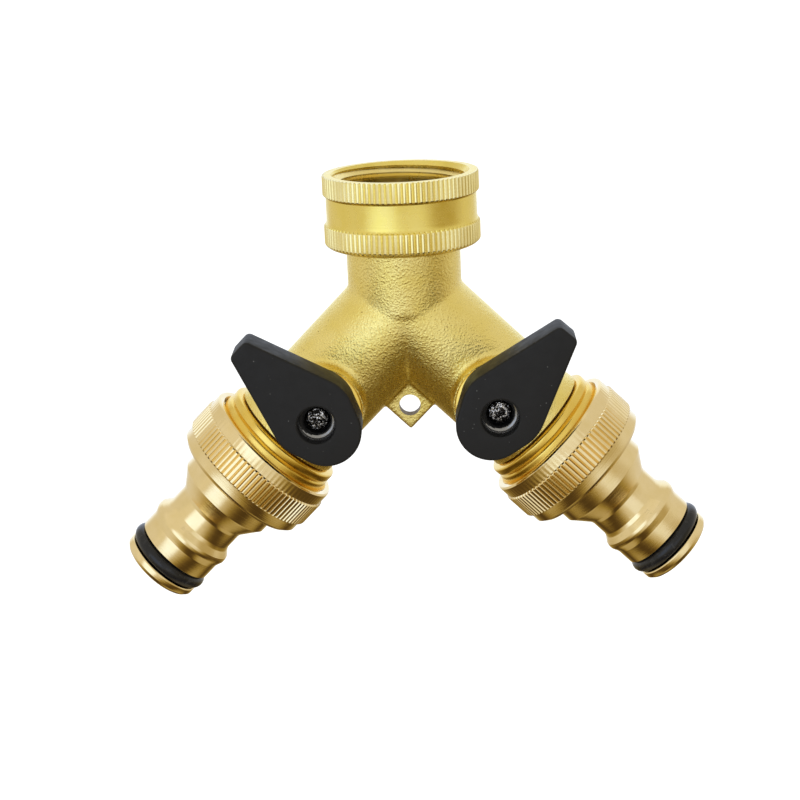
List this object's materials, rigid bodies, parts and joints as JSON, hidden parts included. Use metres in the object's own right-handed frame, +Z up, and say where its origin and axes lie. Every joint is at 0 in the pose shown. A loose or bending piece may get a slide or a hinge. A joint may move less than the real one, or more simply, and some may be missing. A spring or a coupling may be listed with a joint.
{
  "type": "hose splitter",
  "caption": "Y-shaped brass garden hose splitter with a knurled swivel inlet nut, lever shut-off valves and click connectors on its outlets.",
  "frame": {"origin": "centre of the hose washer's upper face in the swivel nut, where a tap's spout seals", "axes": "+Z up along the inlet axis, out of the nut's mouth; -Y is the lever side; the outlets point down at 45 degrees towards -X and +X"},
  "size_m": [0.1204, 0.0403, 0.0875],
  "materials": {
    "cast_brass": "bead-blasted casting",
    "satin_brass": "satin turned",
    "turned_brass": "bright turned",
    "plated_ball": "polished plating",
    "valve_seat": "smooth white PTFE",
    "lever_plastic": "satin moulded",
    "seal_rubber": "smooth, slightly glossy",
    "washer_rubber": "matt",
    "screw_steel": "dark plated"
  },
  "bodies": {
    "root": {"body_casting": "cast_brass", "nut_retaining_ring": "satin_brass", "inlet_washer": "washer_rubber", "left_inner_seat": "valve_seat", "left_outer_seat": "valve_seat", "left_seat_retainer": "satin_brass", "left_stem_washer": "valve_seat", "left_adapter": "turned_brass", "left_adapter_washer": "washer_rubber", "left_adapter_o_ring": "seal_rubber", "right_inner_seat": "valve_seat", "right_outer_seat": "valve_seat", "right_seat_retainer": "satin_brass", "right_stem_washer": "valve_seat", "right_adapter": "turned_brass", "right_adapter_washer": "washer_rubber", "right_adapter_o_ring": "seal_rubber"},
    "inlet_nut": {"inlet_nut": "satin_brass"},
    "left_valve": {"left_valve_ball": "plated_ball", "left_valve_stem": "satin_brass", "left_stem_o_rings": "seal_rubber", "left_lever": "lever_plastic", "left_lever_screw": "screw_steel"},
    "right_valve": {"right_valve_ball": "plated_ball", "right_valve_stem": "satin_brass", "right_stem_o_rings": "seal_rubber", "right_lever": "lever_plastic", "right_lever_screw": "screw_steel"}
  },
  "joints": [
    {"name": "nut_swivel", "type": "hinge", "parent": "root", "child": "inlet_nut", "pos_m": [0, 0, 0], "axis": [0, 0, 1], "continuous": true},
    {"name": "left_valve_turn", "type": "hinge", "parent": "root", "child": "left_valve", "pos_m": [-0.01791, 0, -0.03751], "axis": [0, -1, 0], "range_deg": [0, 90]},
    {"name": "right_valve_turn", "type": "hinge", "parent": "root", "child": "right_valve", "pos_m": [0.01791, 0, -0.03751], "axis": [0, 1, 0], "range_deg": [0, 90]}
  ]
}
